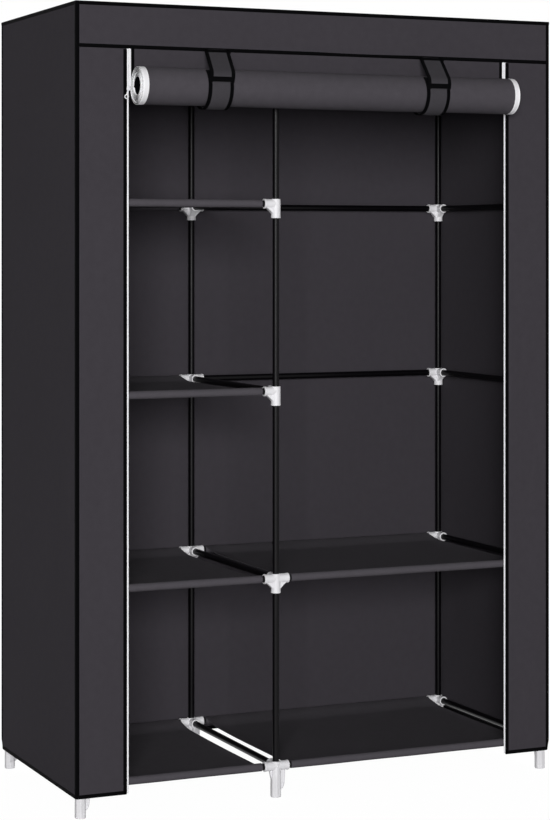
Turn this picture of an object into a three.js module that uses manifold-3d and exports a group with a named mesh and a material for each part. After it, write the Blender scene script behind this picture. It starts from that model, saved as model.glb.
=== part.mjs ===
// Portable fabric wardrobe: a push-fit frame of steel tubes and plastic connectors,
// six cloth shelves, a hanging rail, and a cloth cover whose door is rolled up under its header.
// Built with X along the width from the left side, Y from the front face to the back, Z up from the floor.
import * as THREE from "three";
import { mergeVertices } from "three/addons/utils/BufferGeometryUtils.js";
import Module from "manifold-3d";

const wasm = await Module();
wasm.setup();

// Frame layout, in millimetres
const leftBay = 440; // between the axes of the left and the middle posts
const rightBay = 651; // between the axes of the middle and the right posts
const frameDepth = 484; // between the axes of the front and the back posts
const bottomLevel = 66; // axis of the lowest rails above the floor
const levelPitch = 400;
const levelCount = 5;
const leftShelfCount = 4;
const rightShelfCount = 2;

// Tubes
const tubeDiameter = 14;
const tubeWall = 0.7;
const tubeSides = 12;

// Connectors
const socketWall = 3.7;
const socketDepth = 21;
const postClearance = 5; // from a post's tube to the end of a rail in its socket
const dropArmLength = 34;
const gussetSetback = 3;
const gussetThickness = 3.2;
const footFinRise = 24; // lower end of the foot's fins above the floor

// Hanging rail
const railCollarLength = 36;

// Cloth and its black binding
const clothThickness = 1.2;
const bindingRelief = 0.8;
const edgeBinding = 7; // on free edges
const seamBinding = 4; // on each side of a sewn corner
const coverClearance = 2; // from the cover to the connectors
const headerHeight = 92;
const flapWidth = 110;
const hemHeight = 43; // lower edge of the cover above the floor

// Zip halves on the flaps
const zipTapeWidth = 2;
const zipTeethWidth = 2.8;
const zipTeethThickness = 3;

// Zip sliders and their pulls
const sliderHeight = 12;
const sliderPlate = 1.2;
const sliderLip = 2; // how far the plates reach back over the tape
const sliderBelowHeader = 82;
const bailThickness = 2.4;
const bailWall = 1.2;
const bailOpening = 2.6;
const bailOpeningHeight = 4;
const pullThickness = 1.2;
const pullBar = 1.8;
const pullWidth = 8.4;
const pullNeck = 4.6;
const pullSlotHeight = 3.5;
const pullLength = 19; // from the hinge to the middle of the ring
const pullHole = 4.4;

// Rolled door
const rollCoreRadius = 18.6;
const rollLayerPitch = 2.7;
const rollTurns = 8;
const rollStepsPerTurn = 20;
const rollDrop = 38; // from the header's lower edge to the top of the roll
const rollEndGap = 1; // from a zip's pull to the end of the roll

// Straps that hold the roll
const strapWidth = 55;
const strapSpacing = 508;
const strapShift = 17; // of both straps, to the left of the middle
const tabLean = 22; // of a tab's sewn end, to the right of its loop
const strapThickness = 1.2;
const strapOverlap = 15; // length sewn behind the header
const strapSteps = 18; // along the loop under the roll
const tabSteps = 8;
const tabEndRise = 24 * (Math.PI / 180); // the tab ends this angle above the roll's middle

// Fits
const fitGap = 0.3; // around a tube in its socket or sleeve
const seatGap = 0.3; // between pieces that rest on or butt against each other
const slideGap = 0.4; // around the zip teeth in a slider
const sleeveEndGap = 1;
const overrun = 5; // how far a cutter passes the face that it opens
const weldDistance = 0.0001; // corners nearer than this are one

// Places that follow from the sizes
const tubeRadius = tubeDiameter / 2;
const boreRadius = tubeRadius + fitGap;
const socketRadius = boreRadius + socketWall;
const railStart = tubeRadius + postClearance;
const armLength = railStart + socketDepth;
const coverInset = clothThickness + coverClearance + socketRadius;
const postX = [coverInset, coverInset + leftBay, coverInset + leftBay + rightBay];
const postY = [coverInset, coverInset + frameDepth];
const levels = Array.from({ length: levelCount }, (_, i) => bottomLevel + i * levelPitch);
const topLevel = levels[levelCount - 1];
const coverWidth = postX[2] + coverInset;
const coverDepth = postY[1] + coverInset;
const coverTop = topLevel + socketRadius + seatGap + clothThickness;
const wallTop = coverTop - clothThickness - seatGap;
const headerBottom = wallTop - headerHeight;
const strapX = [-0.5, 0.5].map((share) => coverWidth / 2 - strapShift + share * strapSpacing);

// Colours
const tubeBlack = 0x17171b;
const connectorWhite = 0xd9d9dc;
const clothCharcoal = 0x3a383c;
const shelfCharcoal = 0x333135;
const zipWhite = 0xeeeeef;

// Closed solids, and the geometries made from them

function solid(geometry) {
  const bare = geometry.index ? geometry.toNonIndexed() : geometry.clone();
  bare.deleteAttribute("normal");
  bare.deleteAttribute("uv");
  const merged = mergeVertices(bare, weldDistance);
  return new wasm.Manifold(
    new wasm.Mesh({
      numProp: 3,
      vertProperties: new Float32Array(merged.attributes.position.array),
      triVerts: new Uint32Array(merged.index.array),
    }),
  );
}

function join(parts) {
  return parts.reduce((whole, part) => whole.add(part));
}

function geometryOf(manifold) {
  const mesh = manifold.getMesh();
  const geometry = new THREE.BufferGeometry();
  geometry.setAttribute("position", new THREE.BufferAttribute(mesh.vertProperties, 3));
  geometry.setIndex(new THREE.BufferAttribute(mesh.triVerts, 1));
  geometry.computeVertexNormals();
  return geometry;
}

// A closed box between its lowest and highest corner
function boxBetween(low, high) {
  const size = high.map((value, i) => value - low[i]);
  const middle = high.map((value, i) => (value + low[i]) / 2);
  return new THREE.BoxGeometry(...size).translate(...middle);
}

// A cylinder that starts at a point and runs along a direction
function rod(radius, start, direction, length) {
  const along = new THREE.Vector3(...direction).normalize();
  const turn = new THREE.Quaternion().setFromUnitVectors(new THREE.Vector3(0, 1, 0), along);
  return new THREE.CylinderGeometry(radius, radius, length, tubeSides)
    .translate(0, length / 2, 0)
    .applyQuaternion(turn)
    .translate(...start);
}

// An outline in the YZ plane carried along X
function extrudeAlongX(outline, fromX, toX) {
  const shape = new THREE.Shape(outline);
  const turn = new THREE.Matrix4().makeBasis(
    new THREE.Vector3(0, 1, 0),
    new THREE.Vector3(0, 0, 1),
    new THREE.Vector3(1, 0, 0),
  );
  return new THREE.ExtrudeGeometry(shape, { depth: toX - fromX, bevelEnabled: false })
    .applyMatrix4(turn)
    .translate(fromX, 0, 0);
}

// Leans a piece sideways: it stays where it is at one height and moves by the reach at another
function lean(geometry, fixedZ, movedZ, reach) {
  const slope = reach / (movedZ - fixedZ);
  return geometry
    .applyMatrix4(new THREE.Matrix4().makeShear(0, 0, 0, 0, slope, 0))
    .translate(-slope * fixedZ, 0, 0);
}

// An outline in the XY plane carried along Z
function extrudeAlongZ(outline, fromZ, toZ) {
  const shape = new THREE.Shape(outline);
  return new THREE.ExtrudeGeometry(shape, { depth: toZ - fromZ, bevelEnabled: false })
    .translate(0, 0, fromZ);
}

// The closed outline of a strip of even thickness whose middle line runs through the points
function stripOutline(points, thickness) {
  const sides = points.map((point, i) => {
    const before = points[Math.max(i - 1, 0)];
    const after = points[Math.min(i + 1, points.length - 1)];
    const along = after.clone().sub(before).normalize();
    const across = new THREE.Vector2(-along.y, along.x).multiplyScalar(thickness / 2);
    return [point.clone().add(across), point.clone().sub(across)];
  });
  const there = sides.map(([side]) => side);
  const back = sides.map(([, side]) => side).reverse();
  return [...there, ...back];
}

function mesh(name, geometry, colour, roughness, metalness) {
  const material = new THREE.MeshStandardMaterial({ color: colour, roughness, metalness });
  const made = new THREE.Mesh(geometry, material);
  made.name = name;
  return made;
}

const wardrobe = new THREE.Group();

// Posts: four tube sections in line, with the five connectors that join them

// One arm of a connector: a socket that takes the end of a rail, and the web under it
function arm([x, y, z], direction, webDrop) {
  const tube = solid(rod(socketRadius, [x, y, z], direction, armLength));
  const reach = armLength - gussetSetback;
  const web = [
    new THREE.Vector2(0, 0),
    new THREE.Vector2(reach, 0),
    new THREE.Vector2(reach, -socketRadius),
    new THREE.Vector2(socketRadius, -webDrop),
    new THREE.Vector2(0, -webDrop),
  ];
  const heading = new THREE.Vector3(...direction);
  const up = new THREE.Vector3(0, 0, 1);
  const turn = new THREE.Matrix4().makeBasis(heading, up, heading.clone().cross(up));
  const plate = new THREE.ExtrudeGeometry(new THREE.Shape(web), {
    depth: gussetThickness,
    bevelEnabled: false,
  })
    .translate(0, 0, -gussetThickness / 2)
    .applyMatrix4(turn)
    .translate(x, y, z);
  return tube.add(solid(plate));
}

// The bore of an arm, which starts clear of the post's own tube
function socketBore([x, y, z], direction) {
  const start = [x + direction[0] * railStart, y + direction[1] * railStart, z];
  return solid(rod(boreRadius, start, direction, socketDepth + overrun));
}

// The horizontal arms that a post has at one level
function armDirections(column, row, level) {
  const arms = [row === 0 ? [0, 1, 0] : [0, -1, 0]];
  const railToRight = column < 2 && hasWidthRail(column, row, level);
  const railToLeft = column > 0 && hasWidthRail(column - 1, row, level);
  if (railToRight) arms.push([1, 0, 0]);
  if (railToLeft) arms.push([-1, 0, 0]);
  return arms;
}

// The front of the right bay is open at the levels between its upper shelf and the top
function hasWidthRail(bay, row, level) {
  return row === 1 || bay === 0 || level < rightShelfCount || level === levelCount - 1;
}

// A rail that runs the full width passes through the middle post's connector
function hasThroughRail(row, level) {
  return row === 1 || level === levelCount - 1;
}

function post(column, row) {
  const x = postX[column];
  const y = postY[row];
  const parts = [solid(rod(tubeRadius, [x, y, bottomLevel], [0, 0, 1], topLevel - bottomLevel))];
  const cuts = [];
  levels.forEach((z, level) => {
    const foot = level === 0;
    const drop = foot ? z : dropArmLength;
    const webDrop = foot ? z - footFinRise : dropArmLength - gussetSetback;
    parts.push(solid(rod(socketRadius, [x, y, z - drop], [0, 0, 1], drop + socketRadius)));
    armDirections(column, row, level).forEach((direction) => {
      parts.push(arm([x, y, z], direction, webDrop));
      cuts.push(socketBore([x, y, z], direction));
    });
    if (column === 1 && hasThroughRail(row, level)) {
      cuts.push(solid(rod(boreRadius, [x - armLength, y, z], [1, 0, 0], 2 * armLength)));
    }
  });
  const bore = rod(tubeRadius - tubeWall, [x, y, bottomLevel], [0, 0, 1], coverTop - bottomLevel);
  return join(parts).subtract(join([...cuts, solid(bore)]));
}

// Black where the tube shows, white on the connectors, which are all that stands out past it
function paintPost(geometry, x, y) {
  const flat = geometry.toNonIndexed();
  const place = flat.attributes.position;
  const colours = new Float32Array(place.count * 3);
  const tube = new THREE.Color(tubeBlack);
  const connector = new THREE.Color(connectorWhite);
  const reach = (i) => Math.hypot(place.getX(i) - x, place.getY(i) - y);
  for (let face = 0; face < place.count; face += 3) {
    const widest = Math.max(reach(face), reach(face + 1), reach(face + 2));
    const colour = widest > boreRadius ? connector : tube;
    for (let i = face; i < face + 3; i++) {
      colour.toArray(colours, i * 3);
    }
  }
  flat.setAttribute("color", new THREE.BufferAttribute(colours, 3));
  flat.computeVertexNormals();
  return flat;
}

const columnNames = ["left", "middle", "right"];
const rowNames = ["front", "back"];
rowNames.forEach((rowName, row) => {
  columnNames.forEach((columnName, column) => {
    const shape = paintPost(geometryOf(post(column, row)), postX[column], postY[row]);
    const made = mesh(`post_${rowName}_${columnName}`, shape, 0xffffff, 0.5, 0.2);
    made.material.vertexColors = true;
    wardrobe.add(made);
  });
});

// Rails: steel tubes pushed into the connectors' sockets

function tube(start, direction, length) {
  const outer = solid(rod(tubeRadius, start, direction, length));
  const inside = start.map((value, i) => value - direction[i] * overrun);
  const bore = solid(rod(tubeRadius - tubeWall, inside, direction, length + 2 * overrun));
  return geometryOf(outer.subtract(bore));
}

function addRail(name, from, to) {
  const span = to.map((value, i) => value - from[i]);
  const length = Math.hypot(...span);
  const direction = span.map((value) => value / length);
  const setback = railStart + seatGap;
  const start = from.map((value, i) => value + direction[i] * setback);
  wardrobe.add(mesh(name, tube(start, direction, length - 2 * setback), tubeBlack, 0.4, 0.6));
}

levels.forEach((z, level) => {
  const number = level + 1;
  rowNames.forEach((rowName, row) => {
    const y = postY[row];
    if (hasThroughRail(row, level)) {
      addRail(`rail_${rowName}_${number}`, [postX[0], y, z], [postX[2], y, z]);
      return;
    }
    addRail(`rail_${rowName}_left_${number}`, [postX[0], y, z], [postX[1], y, z]);
    if (hasWidthRail(1, row, level)) {
      addRail(`rail_${rowName}_right_${number}`, [postX[1], y, z], [postX[2], y, z]);
    }
  });
  columnNames.forEach((columnName, column) => {
    const x = postX[column];
    addRail(`rail_side_${columnName}_${number}`, [x, postY[0], z], [x, postY[1], z]);
  });
});

// Hanging rail: a tube whose two collars sit round the top side rails of the right bay
function hangingRail() {
  const y = (postY[0] + postY[1]) / 2;
  const parts = [solid(rod(tubeRadius, [postX[1], y, topLevel], [1, 0, 0], rightBay))];
  const cuts = [solid(rod(tubeRadius - tubeWall, [postX[1], y, topLevel], [1, 0, 0], rightBay))];
  [1, -1].forEach((side) => {
    const x = side > 0 ? postX[1] : postX[2];
    const collarStart = y - railCollarLength / 2;
    parts.push(solid(rod(socketRadius, [x, collarStart, topLevel], [0, 1, 0], railCollarLength)));
    parts.push(solid(rod(socketRadius, [x, y, topLevel], [side, 0, 0], armLength)));
    const boreStart = collarStart - overrun;
    const boreLength = railCollarLength + 2 * overrun;
    cuts.push(solid(rod(boreRadius, [x, boreStart, topLevel], [0, 1, 0], boreLength)));
  });
  return join(parts).subtract(join(cuts));
}
wardrobe.add(mesh("hanging_rail", geometryOf(hangingRail()), tubeBlack, 0.4, 0.6));

// Shelves: cloth sheets sewn to a sleeve round the front rail and one round the back rail
function shelf(fromX, toX, z) {
  const sleeveRadius = boreRadius + clothThickness;
  const length = toX - fromX;
  const sleeves = postY.map((y) => solid(rod(sleeveRadius, [fromX, y, z], [1, 0, 0], length)));
  const sheet = solid(boxBetween([fromX, postY[0], z - clothThickness], [toX, postY[1], z]));
  const boreStart = fromX - overrun;
  const boreLength = length + 2 * overrun;
  const bores = postY.map((y) => solid(rod(boreRadius, [boreStart, y, z], [1, 0, 0], boreLength)));
  return join([...sleeves, sheet]).subtract(join(bores));
}

function addShelf(name, bay, level) {
  const fromX = postX[bay] + armLength + sleeveEndGap;
  const toX = postX[bay + 1] - armLength - sleeveEndGap;
  wardrobe.add(mesh(name, geometryOf(shelf(fromX, toX, levels[level])), shelfCharcoal, 0.95, 0));
}
for (let level = 0; level < leftShelfCount; level++) {
  addShelf(`shelf_left_${level + 1}`, 0, level);
}
for (let level = 0; level < rightShelfCount; level++) {
  addShelf(`shelf_right_${level + 1}`, 1, level);
}

// Cover panels: flat sewn cloths, each with a raised black binding along its edges

// A panel between two corners. Axis is its normal, side says which way it faces out,
// and bindings holds the width of the binding at the low and high edge of the two other axes.
function panel(low, high, axis, side, bindings) {
  const base = solid(boxBetween(low, high));
  const middle = (low[axis] + high[axis]) / 2;
  const outer = side > 0 ? high[axis] + bindingRelief : low[axis] - bindingRelief;
  const rimLow = [...low];
  const rimHigh = [...high];
  rimLow[axis] = Math.min(middle, outer);
  rimHigh[axis] = Math.max(middle, outer);
  const holeLow = [...rimLow];
  const holeHigh = [...rimHigh];
  holeLow[axis] -= overrun;
  holeHigh[axis] += overrun;
  [0, 1, 2]
    .filter((other) => other !== axis)
    .forEach((other, i) => {
      const [atLow, atHigh] = bindings[i];
      holeLow[other] += atLow || -overrun;
      holeHigh[other] -= atHigh || -overrun;
    });
  const rim = solid(boxBetween(rimLow, rimHigh)).subtract(solid(boxBetween(holeLow, holeHigh)));
  return geometryOf(base.add(rim));
}

function addPanel(name, low, high, axis, side, bindings) {
  wardrobe.add(mesh(name, panel(low, high, axis, side, bindings), clothCharcoal, 0.95, 0));
}

const seams = [seamBinding, seamBinding];
const hemmedSeams = [edgeBinding, seamBinding];
const sideFront = clothThickness + seatGap;
const sideBack = coverDepth - clothThickness - seatGap;
const flapTop = headerBottom - seatGap;
const flapInner = [flapWidth, coverWidth - flapWidth];

addPanel("cover_top", [0, 0, coverTop - clothThickness], [coverWidth, coverDepth, coverTop],
  2, 1, [seams, seams]);
addPanel("cover_back", [0, coverDepth - clothThickness, hemHeight], [coverWidth, coverDepth, wallTop],
  1, 1, [seams, hemmedSeams]);
addPanel("cover_left", [0, sideFront, hemHeight], [clothThickness, sideBack, wallTop],
  0, -1, [seams, hemmedSeams]);
addPanel("cover_right", [coverWidth - clothThickness, sideFront, hemHeight],
  [coverWidth, sideBack, wallTop], 0, 1, [seams, hemmedSeams]);
addPanel("cover_header", [0, 0, headerBottom], [coverWidth, clothThickness, wallTop],
  1, -1, [seams, hemmedSeams]);
addPanel("flap_left", [0, 0, hemHeight], [flapInner[0], clothThickness, flapTop],
  1, -1, [[seamBinding, edgeBinding], [edgeBinding, 0]]);
addPanel("flap_right", [flapInner[1], 0, hemHeight], [coverWidth, clothThickness, flapTop],
  1, -1, [[edgeBinding, seamBinding], [edgeBinding, 0]]);

// Zips: a tape with its row of teeth on each flap, a slider on it, and a pull that swings on the slider
const zipMiddle = clothThickness / 2;
const tapeStart = flapWidth + seatGap;
const teethStart = tapeStart + zipTapeWidth;
const teethEnd = teethStart + zipTeethWidth;
const sliderStart = teethStart - sliderLip;
const sliderEnd = teethEnd + slideGap + sliderPlate;
const sliderMiddle = (sliderStart + sliderEnd) / 2;
const slotHalf = zipTeethThickness / 2 + slideGap;
const sliderFront = zipMiddle - slotHalf - sliderPlate;
const sliderZ = headerBottom - sliderBelowHeader;
const hingeY = sliderFront - bailOpening / 2;

// Points of the left zip, or of the right one as its mirror image
function onSide(side, points) {
  return points.map(([x, y]) => new THREE.Vector2(side === 0 ? x : coverWidth - x, y));
}

function spanX(side, from, to) {
  return side === 0 ? [from, to] : [coverWidth - to, coverWidth - from];
}

function zipHalf(side) {
  const tapeFront = zipMiddle - clothThickness / 2;
  const tapeBack = zipMiddle + clothThickness / 2;
  const teethFront = zipMiddle - zipTeethThickness / 2;
  const teethBack = zipMiddle + zipTeethThickness / 2;
  const outline = onSide(side, [
    [tapeStart, tapeFront],
    [teethStart, tapeFront],
    [teethStart, teethFront],
    [teethEnd, teethFront],
    [teethEnd, teethBack],
    [teethStart, teethBack],
    [teethStart, tapeBack],
    [tapeStart, tapeBack],
  ]);
  return extrudeAlongZ(outline, hemHeight, flapTop);
}

// Two plates joined by the bridge that parts the zip, with a bail on the front plate
function zipSlider(side) {
  const front = sliderFront;
  const back = zipMiddle + slotHalf + sliderPlate;
  const bridge = sliderEnd - sliderPlate;
  const outline = onSide(side, [
    [sliderStart, front],
    [sliderEnd, front],
    [sliderEnd, back],
    [sliderStart, back],
    [sliderStart, back - sliderPlate],
    [bridge, back - sliderPlate],
    [bridge, front + sliderPlate],
    [sliderStart, front + sliderPlate],
  ]);
  const body = extrudeAlongZ(outline, sliderZ - sliderHeight / 2, sliderZ + sliderHeight / 2);
  const bailX = spanX(side, sliderMiddle - bailThickness / 2, sliderMiddle + bailThickness / 2);
  const bailRise = bailOpeningHeight / 2 + bailWall;
  const bailFront = front - bailOpening - bailWall;
  const bail = boxBetween(
    [bailX[0], bailFront, sliderZ - bailRise],
    [bailX[1], front + sliderPlate / 2, sliderZ + bailRise],
  );
  const opening = boxBetween(
    [bailX[0] - overrun, front - bailOpening, sliderZ - bailOpeningHeight / 2],
    [bailX[1] + overrun, front, sliderZ + bailOpeningHeight / 2],
  );
  return geometryOf(solid(body).add(solid(bail).subtract(solid(opening))));
}

// A plate whose top bar lies in the bail, with a narrow neck and a ring at its end
function zipPull(side) {
  const x = side === 0 ? sliderMiddle : coverWidth - sliderMiddle;
  const front = hingeY - pullThickness / 2;
  const back = hingeY + pullThickness / 2;
  const top = sliderZ + pullBar / 2;
  const slotTop = sliderZ - pullBar / 2;
  const slotBottom = slotTop - pullSlotHeight;
  const slotHalfWidth = bailThickness / 2 + slideGap;
  const ringZ = sliderZ - pullLength;
  const ringRadius = pullWidth / 2;
  const eyeBottom = slotBottom - pullBar;
  const eye = boxBetween([x - ringRadius, front, eyeBottom], [x + ringRadius, back, top]);
  const slot = boxBetween(
    [x - slotHalfWidth, front - overrun, slotBottom],
    [x + slotHalfWidth, back + overrun, slotTop],
  );
  const neck = boxBetween([x - pullNeck / 2, front, ringZ], [x + pullNeck / 2, back, slotBottom]);
  const ring = rod(ringRadius, [x, front, ringZ], [0, 1, 0], pullThickness);
  const hole = rod(pullHole / 2, [x, front - overrun, ringZ], [0, 1, 0], 2 * overrun);
  const plate = join([solid(eye).subtract(solid(slot)), solid(neck), solid(ring)]);
  return geometryOf(plate.subtract(solid(hole)));
}

["left", "right"].forEach((sideName, side) => {
  wardrobe.add(mesh(`zip_${sideName}`, zipHalf(side), zipWhite, 0.6, 0));
  wardrobe.add(mesh(`zip_slider_${sideName}`, zipSlider(side), zipWhite, 0.35, 0.2));
  wardrobe.add(mesh(`zip_pull_${sideName}`, zipPull(side), zipWhite, 0.35, 0.2));
});

// Door: one cloth that hangs from the header's lower edge and is rolled up on its outer side
const rollRadius = rollCoreRadius + rollTurns * rollLayerPitch + clothThickness / 2;
const rollY = clothThickness - rollRadius;
const rollZ = headerBottom - rollDrop - rollRadius;

// A point at an angle that starts at the roll's back and goes down round its lower side
function roundRoll(radius, angle) {
  return new THREE.Vector2(rollY + radius * Math.cos(angle), rollZ - radius * Math.sin(angle));
}

function doorMiddleLine() {
  const outermost = rollRadius - clothThickness / 2;
  const steps = rollTurns * rollStepsPerTurn;
  const spiral = Array.from({ length: steps + 1 }, (_, i) => {
    const turns = i / rollStepsPerTurn;
    return roundRoll(outermost - rollLayerPitch * turns, turns * 2 * Math.PI);
  });
  return [new THREE.Vector2(rollY + outermost, headerBottom - seatGap), ...spiral];
}

// The least distance between the faces of two layers, measured from each point to the next turn
function leastLayerGap(line, thickness) {
  let least = Infinity;
  line.forEach((point, i) => {
    line.slice(i + rollStepsPerTurn / 2).forEach((a, k, rest) => {
      const b = rest[k + 1];
      if (!b) return;
      const step = b.clone().sub(a);
      const share = THREE.MathUtils.clamp(point.clone().sub(a).dot(step) / step.lengthSq(), 0, 1);
      const nearest = a.clone().addScaledVector(step, share);
      least = Math.min(least, nearest.distanceTo(point) - thickness);
    });
  });
  return least;
}

const doorLine = doorMiddleLine();
const doorStart = sliderMiddle + pullWidth / 2 + rollEndGap;
const doorEnd = coverWidth - doorStart;
const doorShape = extrudeAlongX(stripOutline(doorLine, clothThickness), doorStart, doorEnd);
wardrobe.add(mesh("door_roll", doorShape, clothCharcoal, 0.95, 0));
console.log(`rolled door: least gap between layers ${leastLayerGap(doorLine, clothThickness).toFixed(2)} mm`);

// Straps: a top that hangs behind the header, a loop that goes on from it under the roll and up
// its front, and a tab outside that holds the end of the loop down
const strapRadius = rollRadius + seatGap + strapThickness / 2;
const tabRadius = strapRadius + strapThickness + seatGap;
const tabSeam = new THREE.Vector2(
  -bindingRelief - seatGap - strapThickness / 2,
  headerBottom + edgeBinding / 2,
);

function arc(radius, from, to, steps) {
  return Array.from({ length: steps + 1 }, (_, i) => roundRoll(radius, from + ((to - from) * i) / steps));
}

// Where a straight line from the seam touches the circle round the roll
function tabTouch() {
  const away = tabSeam.clone().sub(new THREE.Vector2(rollY, rollZ));
  const seamAngle = Math.atan2(away.y, away.x);
  return 2 * Math.PI - seamAngle - Math.acos(tabRadius / away.length());
}

const halfTurn = Math.PI;
const topLine = [headerBottom + strapOverlap, rollZ + seatGap / 2].map(
  (z) => new THREE.Vector2(rollY + strapRadius, z),
);
const loopLine = arc(strapRadius, seatGap / 2 / strapRadius, tabTouch(), strapSteps);
const tabLine = [tabSeam, ...arc(tabRadius, tabTouch(), halfTurn + tabEndRise, tabSteps)];

["left", "right"].forEach((sideName, side) => {
  const span = [strapX[side] - strapWidth / 2, strapX[side] + strapWidth / 2];
  const pieces = { top: topLine, loop: loopLine, tab: tabLine };
  Object.entries(pieces).forEach(([pieceName, line]) => {
    const straight = extrudeAlongX(stripOutline(line, strapThickness), ...span);
    const leaning = pieceName === "tab" ? tabLean : 0;
    const shape = lean(straight, tabLine[tabLine.length - 1].y, tabSeam.y, leaning);
    wardrobe.add(mesh(`strap_${pieceName}_${sideName}`, shape, clothCharcoal, 0.9, 0));
  });
});

// Origin: the middle of the box round the whole object, on the floor
const whole = new THREE.Box3().setFromObject(wardrobe);
const centre = whole.getCenter(new THREE.Vector3());
wardrobe.position.set(-centre.x, -centre.y, -whole.min.z);

export default wardrobe;
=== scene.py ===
import bmesh
import bpy
import numpy as np
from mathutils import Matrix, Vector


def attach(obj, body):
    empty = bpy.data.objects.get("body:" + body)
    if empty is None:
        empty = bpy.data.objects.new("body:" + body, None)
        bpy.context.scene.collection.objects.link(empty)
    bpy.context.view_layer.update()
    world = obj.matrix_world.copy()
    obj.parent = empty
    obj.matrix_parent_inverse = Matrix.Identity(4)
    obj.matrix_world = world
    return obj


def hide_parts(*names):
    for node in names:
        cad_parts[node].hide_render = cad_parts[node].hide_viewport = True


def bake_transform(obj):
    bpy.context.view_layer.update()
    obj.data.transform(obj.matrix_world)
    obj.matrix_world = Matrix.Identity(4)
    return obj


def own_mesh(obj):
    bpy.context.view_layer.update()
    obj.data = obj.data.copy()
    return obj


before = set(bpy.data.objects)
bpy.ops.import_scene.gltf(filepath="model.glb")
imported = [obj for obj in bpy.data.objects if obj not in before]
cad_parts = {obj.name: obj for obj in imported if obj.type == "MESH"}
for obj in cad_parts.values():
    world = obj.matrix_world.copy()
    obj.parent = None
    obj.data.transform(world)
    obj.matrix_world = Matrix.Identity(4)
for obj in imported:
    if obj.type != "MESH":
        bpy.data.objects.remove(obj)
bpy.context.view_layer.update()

# ---- Connectors
# Thirty push-fit connectors of white moulded polypropylene, five on each of the six posts.
# Each has an upright hub, sockets for two or three rails and a ribbed web under every socket.
# The lowest ones stand on the floor on a long leg; the top ones are closed above.

POST_X = (-0.5455, -0.1055, 0.5455)
POST_Y = (-0.2015, 0.2825)
LEVELS = 0.066 + 0.4 * np.arange(5)
TOP = len(LEVELS) - 1
COLUMNS = ("left", "middle", "right")
ROWS = ("front", "back")
POSTS = [(f"{ROWS[row]}_{COLUMNS[column]}", column, row) for column in range(3) for row in range(2)]
ARM_REACH = 0.0285
ARM_FLOOR = 0.0125
DROP_REACH = 0.0308
HUB_TOP = 0.0102
HUB_OUTER = 0.0103
HUB_RIM = 0.0107
SOCKET_BORE = 0.0073
SOCKET_OUTER = 0.0099
SOCKET_RIM = 0.0106
CAP_REACH = 0.009
END_RADIUS = 0.002
FLUTE = 0.0005
ROUND = 42


def shell(points, along=False, ends=None, kind=0):
    """One surface on a grid of points. Every quad joins a point to the next in its row and column;
    rows are closed, and columns too if along is set. End rows are shut by a fan round their middle
    or a strip across. The map holds the metres walked along the columns (u) and the rows (v)."""
    rows, cols = points.shape[:2]
    index = np.arange(rows * cols).reshape(rows, cols)
    flat = points.reshape(-1, 3)
    wrapped = np.pad(index, ((0, int(along)), (0, 1)), mode="wrap")
    spots = flat[wrapped]
    lengths = np.zeros((*wrapped.shape, 2))
    lengths[1:, :, 0] = np.cumsum(np.linalg.norm(np.diff(spots, axis=0), axis=2), axis=0)
    lengths[:, 1:, 1] = np.cumsum(np.linalg.norm(np.diff(spots, axis=1), axis=2), axis=1)
    corners = (np.s_[:-1, :-1], np.s_[:-1, 1:], np.s_[1:, 1:], np.s_[1:, :-1])
    quads = np.stack([wrapped[c] for c in corners], axis=2).reshape(-1, 4)
    quad_map = np.stack([lengths[c] for c in corners], axis=2).reshape(-1, 4, 2)
    quad_kind = np.broadcast_to(kind, (wrapped.shape[0] - 1, wrapped.shape[1] - 1)).reshape(-1)
    tris = np.zeros((0, 3), int)
    if ends == "fan":
        for middle, ring in enumerate(index[[0, -1]], start=len(flat)):
            fan = np.stack([ring, np.roll(ring, -1), np.full(cols, middle)], axis=1)
            tris = np.concatenate([tris, fan])
        flat = np.concatenate([flat, points[[0, -1]].mean(axis=1)])
    if ends == "strip":
        step = np.arange(cols // 2 - 1)
        band = np.stack([step, step + 1, cols - 2 - step, cols - 1 - step], axis=1)
        band = np.concatenate([ring[band] for ring in index[[0, -1]]])
        quads = np.concatenate([quads, band])
        quad_map = np.concatenate([quad_map, np.zeros((len(band), 4, 2))])
        quad_kind = np.concatenate([quad_kind, np.full(len(band), quad_kind[0])])
    return flat, quads, quad_map, quad_kind, tris


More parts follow.
